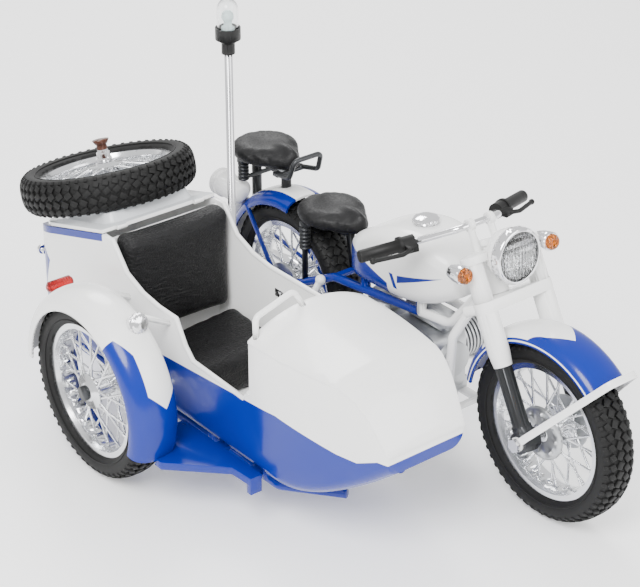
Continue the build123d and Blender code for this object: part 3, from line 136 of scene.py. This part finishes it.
class Sock:
    """An output socket that takes arithmetic."""

    def __init__(self, look, out):
        self.look, self.out = look, out

    def op(self, kind, *values, clamp=False):
        return self.look.node("ShaderNodeMath", values, operation=kind, use_clamp=clamp)

    def __add__(self, other):
        return self.op("ADD", self, other)

    def __sub__(self, other):
        return self.op("SUBTRACT", self, other)

    def __rsub__(self, other):
        return self.op("SUBTRACT", other, self)

    def __mul__(self, other):
        return self.op("MULTIPLY", self, other)

    def __truediv__(self, other):
        return self.op("DIVIDE", self, other)

    def __abs__(self):
        return self.op("ABSOLUTE", self)

    def over(self, edge, soft=0.12):
        """1 where the value is above edge, 0 below it."""
        return self.op("MULTIPLY_ADD", self - edge, 1.0 / soft, 0.5, clamp=True)

    def under(self, edge, soft=0.12):
        return 1.0 - self.over(edge, soft)

    def least(self, other):
        return self.op("MINIMUM", self, other)

    def most(self, other):
        return self.op("MAXIMUM", self, other)

    __radd__, __rmul__ = __add__, __mul__


class Look:
    """A Principled material built from nodes."""

    def __init__(self, name, **values):
        self.mat = bpy.data.materials.new(name)
        self.mat.use_nodes = True
        self.tree = self.mat.node_tree
        self.bsdf = self.tree.nodes["Principled BSDF"]
        self.made = {}
        for key, value in values.items():
            self.set(key.replace("_", " ").title().replace("Ior", "IOR"), value)

    def put(self, socket, value):
        if isinstance(value, Sock):
            self.tree.links.new(value.out, socket)
        elif isinstance(value, (tuple, list)) and len(value) == 3 and len(socket.default_value) == 4:
            socket.default_value = (*value, 1.0)
        else:
            socket.default_value = value

    def node(self, kind, inputs=(), out=0, **settings):
        """A node of that kind; inputs is a list by place or a dict by name."""
        made = self.tree.nodes.new(kind)
        for key, value in settings.items():
            setattr(made, key, value)
        pairs = inputs.items() if isinstance(inputs, dict) else enumerate(inputs)
        for key, value in pairs:
            self.put(made.inputs[key], value)
        return Sock(self, made.outputs[out])

    def set(self, name, value):
        self.put(self.bsdf.inputs[name], value)

    def point(self):
        if "point" not in self.made:
            self.made["point"] = self.node("ShaderNodeTexCoord", out="Object")
        return self.made["point"]

    def place(self):
        """Building-frame x, y and z in millimetres."""
        if "place" not in self.made:
            split = self.node("ShaderNodeSeparateXYZ", [self.point()]).out.node
            shift = (-REAR.x / MM, -REAR.y / MM, TYRE_R - REAR.z / MM)
            self.made["place"] = [Sock(self, split.outputs[k]) * (1 / MM) + shift[k] for k in range(3)]
        return self.made["place"]

    def noise(self, scale, detail=3.0):
        return self.node("ShaderNodeTexNoise", {"Vector": self.point(), "Scale": scale, "Detail": detail})

    def cells(self, scale, out="Distance"):
        return self.node("ShaderNodeTexVoronoi", {"Vector": self.point(), "Scale": scale}, out=out)

    def mix(self, share, first, second):
        made = self.tree.nodes.new("ShaderNodeMix")
        made.data_type = "RGBA"
        self.put(made.inputs[0], share)
        self.put(made.inputs[6], first)
        self.put(made.inputs[7], second)
        return Sock(self, made.outputs[2])

    def bump(self, height, strength, distance):
        depth = {"Height": height, "Strength": strength, "Distance": distance}
        self.set("Normal", self.node("ShaderNodeBump", depth))


BLUE = (0.0, 0.014, 0.23)
WHITE = (0.86, 0.86, 0.85)
BRIGHT = (0.86, 0.86, 0.88)
LID_GREY = (0.6, 0.62, 0.64)
CAP_BROWN = (0.09, 0.03, 0.016)
PAPER = (0.95, 0.95, 0.95)


def paint(name, base, masks=None):
    """Gloss enamel; each mask paints its colour over the base."""
    look = Look(name, coat_weight=0.22, coat_roughness=0.05, specular_ior_level=0.3)
    colour = base
    for share, other in masks(look) if masks else ():
        colour = look.mix(share, colour, other)
    shade = look.noise(55.0) * 0.05 + 0.97
    toned = look.node("ShaderNodeHueSaturation", {"Value": shade, "Color": colour})
    look.set("Base Color", toned)
    look.set("Roughness", look.noise(160.0) * 0.08 + 0.2)
    look.bump(look.noise(900.0, 1.0), 0.04, 0.0002)
    return look


def metal(name, colour, rough, grain=700.0, metallic=1.0):
    look = Look(name, metallic=metallic)
    look.set("Base Color", look.mix(look.noise(90.0), [c * 0.86 for c in colour], colour))
    look.set("Roughness", look.noise(grain, 4.0) * 0.12 + rough)
    look.bump(look.noise(grain, 2.0), 0.06, 0.0002)
    return look


def capped_stud(name):
    """Bright stud whose end cap is brown."""
    look = Look(name)
    x, _, z = look.place()
    hub = (centre_of("spare_tyre") - REAR) / MM
    along = (x - hub.x) * -math.sin(SPARE_TILT) + (z - hub.z - TYRE_R) * math.cos(SPARE_TILT)
    cap = along.over(11.2)
    look.set("Base Color", look.mix(cap, BRIGHT, CAP_BROWN))
    look.set("Metallic", 1.0 - cap * 0.85)
    look.set("Roughness", look.noise(700.0) * 0.08 + cap * 0.25 + 0.06)
    return look


def rubber(name, colour=(0.003, 0.003, 0.003), rough=0.62):
    look = Look(name, specular_ior_level=0.28)
    dust = look.noise(60.0, 6.0)
    look.set("Base Color", look.mix(dust, colour, [c * 1.8 + 0.001 for c in colour]))
    look.set("Roughness", dust * 0.2 + rough - 0.08)
    look.bump(look.noise(1500.0, 2.0), 0.12, 0.0002)
    return look


def leather(name, spread, strength):
    """Black leather; spread is how fine its creases are, strength how deep."""
    look = Look(name, specular_ior_level=0.3)
    drawn = look.node("ShaderNodeMapping", {"Vector": look.point(), "Scale": (1.0, 0.3, 1.0)})
    folds = {"Vector": drawn, "Scale": spread, "Detail": 4.0, "Distortion": 1.2}
    creases = look.node("ShaderNodeTexNoise", folds)
    grain = look.cells(1500.0)
    # Painted shade: the base colour is darker in the crease hollows, following the same noise that raises the
    # creases' bump.
    look.set("Base Color", look.mix(creases, (0.002, 0.002, 0.002), (0.006, 0.006, 0.007)))
    look.set("Roughness", grain * 0.22 + 0.4)
    look.bump(grain * 0.3 + creases, strength, 0.0007)
    return look


def lens(name, colour, rough=0.05, ridges=0.0):
    look = Look(name, transmission_weight=1.0, ior=1.45, base_color=colour)
    look.set("Roughness", look.noise(400.0) * 0.04 + rough)
    if ridges:
        _, y, z = look.place()
        bars = look.node("ShaderNodeMath", [y * ridges], operation="SINE")
        rows = look.node("ShaderNodeMath", [z * ridges * 0.55], operation="SINE")
        look.bump(bars + rows * 0.6, 0.5, 0.0006)
    return look


def wave(value, period, look):
    return look.node("ShaderNodeMath", [value * (2 * math.pi / period)], operation="SINE")


def polar(look, x, z, hub_x):
    """Distance from a wheel's axis, and the angle forwards from its top in degrees."""
    ahead, above = x - hub_x, z - TYRE_R
    reach = look.node("ShaderNodeMath", [ahead * ahead + above * above, 0.5], operation="POWER")
    return reach, look.node("ShaderNodeMath", [ahead, above], operation="ARCTAN2") * (180 / math.pi)


def tub_masks(look):
    """Blue belt, boot edge and rear corner on the body's outside only; its inside stays white."""
    x, y, z = look.place()
    heart = at(42.0, BODY_Y, 45.0)
    away = look.node("ShaderNodeVectorMath", [look.point(), tuple(heart)], operation="SUBTRACT")
    facing = look.node("ShaderNodeNewGeometry", out="Normal")
    outward = look.node("ShaderNodeVectorMath", [away, facing], out="Value", operation="DOT_PRODUCT")
    outside = outward.over(0.0, 0.001)
    rising = (x - 29.5) * 0.088 + 42.8
    falling = (48.2 - (x - 96.0) * 0.11).most(45.4) + x.over(134.0, 8.0) * 3.5
    belt = (rising.least(falling) - z).over(0.0)
    rim = z.over(x * LID_RISE + 76.6) * x.under(-8.5)
    post = x.under(-55.4) * z.over(58.0) * abs(y - BODY_Y).over(23.0)
    boot = rim + post
    corner = (x + 47.1 + (z - 50.9).most(0.0) * 1.1 + (50.9 - z).most(0.0) * 0.38).under(0.0)
    return [(belt.most(boot).most(corner) * outside, BLUE)]


def front_fender_masks(look):
    x, y, z = look.place()
    radius, turn = polar(look, x, z, WHEELBASE)
    half = ((11.5 - turn) * 0.5).least((0.3 - turn) * 0.28 + 5.7) + wave(turn, 23.0, look) * 0.35
    patch = (half - abs(y)).over(0.0) * radius.over(35.7) * turn.over(-52.0)
    hem = radius.under(34.9) * radius.over(34.35)
    return [(patch.most(hem), WHITE)]


def rear_fender_masks(look):
    _, y, _ = look.place()
    return [(abs(y).under(4.6), WHITE)]


def side_fender_masks(look):
    x, y, z = look.place()
    _, turn = polar(look, x, z, SIDE_WHEEL_X)
    strip = (y + 110.4 + (46.0 - turn).most(0.0) * 0.3).under(0.0) * turn.over(34.0)
    inner = y.over(-98.8) * turn.over(50.0)
    low = (turn + abs(y + 104.4) * 1.6).over(78.6, 0.4)
    return [(strip.most(inner).most(low), BLUE)]


def frame_masks(look):
    x, _, _ = look.place()
    return [(x.over(80.0), WHITE)]


def tank_masks(look):
    x, y, z = look.place()
    across = abs(y).over(6.0)
    stripe = z.under(70.5 + (x - 74.3) * 0.27) * z.over(67.5 + (x - 74.3) * 0.42) * x.over(74.3)
    rear = z.under(67.8 - (x - 57.0) * 0.2) * x.under(69.0)
    slant = x + (z - 67.5) * 0.55
    bar = slant.over(71.2) * slant.under(73.3) * z.under(70.2) * z.over(65.0)
    return [(stripe.most(rear).most(bar) * across, BLUE)]


def lid_masks(look):
    x, _, z = look.place()
    rise = z - (x * LID_RISE + 79.4)
    return [(rise.over(1.6) * rise.under(40.0), LID_GREY)]


def make_looks():
    return {
        "blue": paint("blue_enamel", BLUE),
        "white": paint("white_enamel", WHITE),
        "tub": paint("tub_enamel", WHITE, tub_masks),
        "front_fender": paint("front_fender_enamel", BLUE, front_fender_masks),
        "side_fender": paint("side_fender_enamel", WHITE, side_fender_masks),
        "tank": paint("tank_enamel", WHITE, tank_masks),
        "lid": paint("lid_enamel", WHITE, lid_masks),
        "chrome": metal("chrome", BRIGHT, 0.05, 1400.0),
        "spokes": metal("bright_plating", (0.78, 0.79, 0.81), 0.14, 1400.0),
        "cast": metal("cast_alloy", (0.52, 0.53, 0.54), 0.34),
        "dark": metal("dark_grey_metal", (0.05, 0.052, 0.055), 0.32, metallic=0.7),
        "tyre": rubber("tyre_rubber"),
        "grip": rubber("grip_rubber", (0.003, 0.003, 0.003), 0.5),
        "leather": leather("seat_leather", 560.0, 1.0),
        "saddle": leather("saddle_leather", 900.0, 0.16),
        "clear": lens("clear_lens", (0.97, 0.98, 0.98)),
        "prism": lens("prism_lens", (0.96, 0.97, 0.97), 0.06, 4.2),
        "amber": lens("amber_lens", (0.95, 0.24, 0.0), 0.08, 6.0),
        "red": lens("red_lens", (0.5, 0.0, 0.0), 0.1, 6.0),
        "bulb": paint("pale_bulb", (0.72, 0.86, 0.86)),
        "stud": capped_stud("stud_and_cap"),
        "black": rubber("black_plastic", (0.005, 0.005, 0.005), 0.4),
        "rear_fender": paint("rear_fender_enamel", BLUE, rear_fender_masks),
        "frame": paint("frame_enamel", BLUE, frame_masks),
    }


# ------------------------------------------------------------ modelling helpers


def clear():
    if bpy.context.object and bpy.context.object.mode != "OBJECT":
        bpy.ops.object.mode_set(mode="OBJECT")
    bpy.ops.object.select_all(action="DESELECT")


def pick(*objs):
    clear()
    for obj in objs:
        obj.select_set(True)
    bpy.context.view_layer.objects.active = objs[0]
    return objs[0]


def settle(obj):
    """Put the object's place into its mesh."""
    pick(obj)
    bpy.ops.object.transform_apply(location=True, rotation=True, scale=True)
    return obj


def joined(objs, name):
    pick(*objs)
    if len(objs) > 1:
        bpy.ops.object.join()
    obj = bpy.context.object
    obj.name = name
    return obj


def applied(obj, kind, **settings):
    pick(obj)
    mod = obj.modifiers.new(kind.lower(), kind)
    for key, value in settings.items():
        setattr(mod, key, value)
    bpy.ops.object.modifier_apply(modifier=mod.name)
    return obj


def dress(obj, look, body, nodes=(), angle=35.0):
    """Shade the piece, give it its finish and body, and hide the nodes it stands for."""
    settle(obj)
    bpy.ops.object.shade_smooth_by_angle(angle=math.radians(angle))
    obj.data.materials.clear()
    obj.data.materials.append(look.mat)
    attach(obj, body)
    if nodes:
        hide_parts(*nodes)
    return obj


def copy_of(node):
    """A welded copy of a CAD node's mesh."""
    obj = bpy.data.objects.new(node + "_skin", frame["nodes"][node].data.copy())
    bpy.context.scene.collection.objects.link(obj)
    pick(obj)
    bpy.ops.object.mode_set(mode="EDIT")
    bpy.ops.mesh.select_all(action="SELECT")
    bpy.ops.mesh.remove_doubles(threshold=0.000002)
    bpy.ops.mesh.normals_make_consistent(inside=False)
    bpy.ops.object.mode_set(mode="OBJECT")
    return obj


def skin(node, look, bevel=0.0, angle=35.0):
    """The node's own shape, welded, its edges eased, in its finish."""
    obj = copy_of(node)
    if bevel:
        limit = math.radians(50)
        applied(obj, "BEVEL", width=bevel * MM, segments=2, limit_method="ANGLE", angle_limit=limit)
    return dress(obj, look, frame["nodes"][node]["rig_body"], [node], angle)


def cylinder(place, radius, depth, axis=(0, 0, 1), sides=32, bevel=0.0):
    clear()
    bpy.ops.mesh.primitive_cylinder_add(vertices=sides, radius=radius * MM, depth=depth * MM, location=place)
    obj = bpy.context.object
    obj.rotation_euler = Vector(axis).to_track_quat("Z", "Y").to_euler()
    settle(obj)
    if bevel:
        applied(obj, "BEVEL", width=bevel * MM, segments=2, limit_method="ANGLE")
    return obj


def block(place, size, bevel=0.0, turn=None):
    clear()
    bpy.ops.mesh.primitive_cube_add(size=1.0, location=(0, 0, 0))
    obj = bpy.context.object
    obj.scale = [s * MM for s in size]
    settle(obj)
    if bevel:
        applied(obj, "BEVEL", width=bevel * MM, segments=2)
    obj.data.transform(Matrix.Translation(place) @ (turn or Matrix.Identity(4)))
    return obj


def tube(points, radius, body, look, name, closed=False):
    """Round bead through the points."""
    curve = bpy.data.curves.new(name, "CURVE")
    curve.dimensions, curve.bevel_depth, curve.bevel_resolution = "3D", radius * MM, 3
    line = curve.splines.new("POLY")
    line.points.add(len(points) - 1)
    for point, place in zip(line.points, points):
        point.co = (*place, 1.0)
    line.use_cyclic_u = closed
    curve.use_fill_caps = True
    obj = bpy.data.objects.new(name, curve)
    bpy.context.scene.collection.objects.link(obj)
    pick(obj)
    bpy.ops.object.convert(target="MESH")
    return dress(bpy.context.object, look, body, (), 60)


# ------------------------------------------------------------ wheels


def tread_ring():
    """One ring of zigzag blocks about the Y axis, centred on the origin."""
    count = 56
    blocks = []
    for y, radius, tilt, yaw, size in (
        (1.55, 33.25, 4.0, 32.0, (2.9, 2.3, 1.3)),
        (4.35, 32.7, 22.0, -24.0, (2.4, 2.0, 1.3)),
        (6.15, 31.35, 52.0, 0.0, (1.5, 1.7, 1.2)),
    ):
        for side in (1, -1):
            shift = 0.5 if side < 0 else 0.0
            turn = Matrix.Rotation(math.radians(360.0 / count * shift), 4, "Y")
            place = Matrix.Translation(Vector((0, side * y, radius)) * MM)
            lean = Matrix.Rotation(math.radians(-side * tilt), 4, "X")
            skew = Matrix.Rotation(math.radians(side * yaw), 4, "Z")
            blocks.append(block(Vector(), size, 0.22, turn @ place @ lean @ skew))
    ring = joined(blocks, "tread")
    pivot = bpy.data.objects.new("pivot", None)
    bpy.context.scene.collection.objects.link(pivot)
    pivot.rotation_euler = (0, math.radians(360.0 / count), 0)
    bpy.context.view_layer.update()
    applied(
        ring,
        "ARRAY",
        count=count,
        use_relative_offset=False,
        use_object_offset=True,
        offset_object=pivot,
    )
    bpy.data.objects.remove(pivot)
    return ring


def make_tyres(looks):
    ring = tread_ring()
    for node in ("front_tyre", "rear_tyre", "sidecar_tyre", "spare_tyre"):
        turn = Matrix.Identity(4)
        if node == "spare_tyre":
            turn = Matrix.Rotation(-SPARE_TILT, 4, "Y") @ Matrix.Rotation(math.radians(90), 4, "X")
        place = Matrix.Translation(centre_of(node)) @ turn
        carcass = copy_of(node)
        carcass.data.transform(place.inverted())
        for vert in carcass.data.vertices:
            reach = math.hypot(vert.co.x, vert.co.z)
            if reach > 30.5 * MM:
                share = (30.5 * MM + (reach - 30.5 * MM) * 0.72) / reach
                vert.co.x, vert.co.z = vert.co.x * share, vert.co.z * share
        clear()
        bands = []
        for side in (1, -1):
            for radius, wide in ((29.9, 0.28), (27.2, 0.3)):
                bpy.ops.mesh.primitive_torus_add(
                    major_segments=96,
                    minor_segments=8,
                    major_radius=radius * MM,
                    minor_radius=wide * MM,
                    location=(0, side * (6.55 if radius < 29 else 6.6) * MM, 0),
                    rotation=(math.radians(90), 0, 0),
                )
                bands.append(settle(bpy.context.object))
        tread = ring.copy()
        tread.data = ring.data.copy()
        bpy.context.scene.collection.objects.link(tread)
        whole = joined([carcass, tread, *bands], node + "_treaded")
        whole.data.transform(place)
        dress(whole, looks["tyre"], frame["nodes"][node]["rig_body"], [node], 30)
    bpy.data.objects.remove(ring)


# ------------------------------------------------------------ padding


def raise_nose(obj, node):
    """The saddle's moulded ridge, rising to its narrow front, and its sunk top."""
    low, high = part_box(node)
    length = high.x - low.x
    for vert in obj.data.vertices:
        if vert.co.z < (low.z + high.z) / 2:
            continue
        along = min(max((vert.co.x - low.x) / length, 0.0), 1.0)
        across = (vert.co.y - REAR.y) / MM
        ridge = math.exp(-((across / (3.6 - 1.4 * along)) ** 2))
        start = min(max((along - 0.42) / 0.4, 0.0), 1.0)
        bowl = math.exp(-(((along - 0.38) / 0.2) ** 2) - (across / 5.0) ** 2)
        vert.co.z += (ridge * start * start * (3 - 2 * start) * 2.1 - bowl * 0.7) * MM


def puffed(node, look, voxel, nose=False):
    """A padded piece: the CAD block blown up softly as cloth and creased."""
    obj = copy_of(node)
    grow = 10.0
    centre = centre_of(node)
    obj.data.transform(Matrix.Scale(grow, 4) @ Matrix.Translation(-centre))
    applied(obj, "REMESH", mode="VOXEL", voxel_size=voxel * MM * grow)
    before = [vert.co.copy() for vert in obj.data.vertices]
    pick(obj)
    bpy.context.scene.frame_set(1)
    mod = obj.modifiers.new("cloth", "CLOTH")
    cloth = mod.settings
    cloth.use_pressure, cloth.uniform_pressure_force = True, 4.0
    cloth.shrink_min = -0.06
    cloth.mass, cloth.quality = 0.3, 6
    cloth.effector_weights.gravity = 0.0
    mod.point_cache.frame_end = 20
    for step in range(1, 21):
        bpy.context.scene.frame_set(step)
    bpy.ops.object.modifier_apply(modifier=mod.name)
    bpy.context.scene.frame_set(1)
    limit = 1.1 * MM * grow
    for vert, old in zip(obj.data.vertices, before):
        move = vert.co - old
        if move.length > limit:
            vert.co = old + move.normalized() * limit
    applied(obj, "SMOOTH", factor=0.5, iterations=3)
    applied(obj, "SUBSURF", levels=1)
    obj.data.transform(Matrix.Translation(centre) @ Matrix.Scale(1 / grow, 4))
    if nose:
        raise_nose(obj, node)
    dress(obj, look, frame["nodes"][node]["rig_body"], [node], 180)
    return obj


# ------------------------------------------------------------ small fittings


def coaming(looks):
    """White rolled bead round the cockpit's edge."""
    for side, name in ((-85.0 + 0.8, "outer"), (-33.6 - 0.8, "inner")):
        edge = [(-2.6, 76.9), (6.0, 66.6), (16.0, 62.6), (26.0, 61.1)]
        if name == "outer":
            edge += [(36.4, 61.0), (41.5, 52.2), (46.0, 47.8), (76.0, 46.6), (79.2, 50.5)]
        else:
            edge += [(78.6, 61.1)]
        line = [at(x, side, z) for x, z in edge]
        tube(line, 0.95, "chassis", looks["white"], f"coaming_{name}")


def boot_fittings(looks):
    """Knob on the boot's back and catch inside the cockpit."""
    neck = cylinder(at(-58.9, -80.5, 49), 1.1, 3.2, (1, 0, 0))
    head = cylinder(at(-60.4, -80.5, 49), 1.9, 1.6, (1, 0, 0), bevel=0.4)
    knob = joined([neck, head], "boot_knob")
    dress(knob, looks["chrome"], "chassis")
    catch = joined(
        [
            block(at(33.0, -35.35, 53.0), (5.2, 0.6, 3.2), 0.25),
            cylinder(at(33.0, -35.7, 53.0), 1.0, 0.9, (0, 1, 0), bevel=0.2),
        ],
        "cockpit_catch",
    )
    dress(catch, looks["chrome"], "chassis")


def lamp_fittings(looks):
    """Bright rings round the indicators' lenses."""
    for side in (-1, 1):
        low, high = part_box("indicator_lenses")
        spot = Vector((high.x - 0.9 * MM, REAR.y + side * 20.5 * MM, (low.z + high.z) / 2))
        ring_face = Vector((math.cos(math.radians(6.6)), 0, math.sin(math.radians(6.6))))
        clear()
        bpy.ops.mesh.primitive_torus_add(
            major_segments=48, minor_segments=10, major_radius=3.05 * MM, minor_radius=0.33 * MM,
            location=spot - ring_face * 1.5 * MM, rotation=(0, math.radians(90 - 6.6), 0),
        )
        bpy.context.object.name = f"indicator_ring_{'left' if side > 0 else 'right'}"
        dress(bpy.context.object, looks["chrome"], "steering")


def dress_nodes(looks):
    """Every CAD node that keeps its own shape."""
    finishes = {
        "blue": "sidecar_chassis footboard",
        "white": "lower_yoke upper_yoke fork_covers headlamp_shell front_fender_stay rear_siren sidecar_deck "
        "grab_rail sidecar_struts",
        "chrome": "handlebar headlamp_rim headlamp_reflector indicator_bodies front_axle exhausts rear_axle "
        "tank_cap mast_pole sidecar_front_lamp",
        "stud": "spare_mount",
        "frame": "main_frame",
        "rear_fender": "rear_fender",
        "spokes": "front_rim rear_rim sidecar_rim spare_rim",
        "cast": "front_drum front_brake_plate engine_case cylinders generator carburettors final_drive",
        "dark": "fork_legs rider_bracket pillion_bracket sidecar_axle",
        "grip": "grips hand_levers",
        "prism": "headlamp_lens",
        "amber": "indicator_lenses",
        "clear": "beacon_dome",
        "bulb": "beacon_bulb",
        "black": "beacon_base",
        "red": "sidecar_rear_lamps",
        "tub": "sidecar_tub",
        "front_fender": "front_fender",
        "side_fender": "sidecar_fender",
        "tank": "fuel_tank",
        "lid": "boot_lid",
    }
    eased = {
        "sidecar_tub": 0.3, "sidecar_deck": 0.35, "footboard": 0.3, "boot_lid": 0.3, "engine_case": 0.3,
        "lower_yoke": 0.25, "upper_yoke": 0.2, "cylinders": 0.12, "front_fender_stay": 0.15,
    }
    for look_name, nodes in finishes.items():
        for node in nodes.split():
            skin(node, looks[look_name], eased.get(node, 0.0))


def build():
    looks = make_looks()
    set_camera()
    set_stage()
    dress_nodes(looks)
    make_tyres(looks)
    for node in ("seat_back", "seat_cushion"):
        puffed(node, looks["leather"], 1.3)
    for node in ("rider_saddle", "pillion_saddle"):
        puffed(node, looks["saddle"], 0.9, nose=True)
    coaming(looks)
    boot_fittings(looks)
    lamp_fittings(looks)


build()
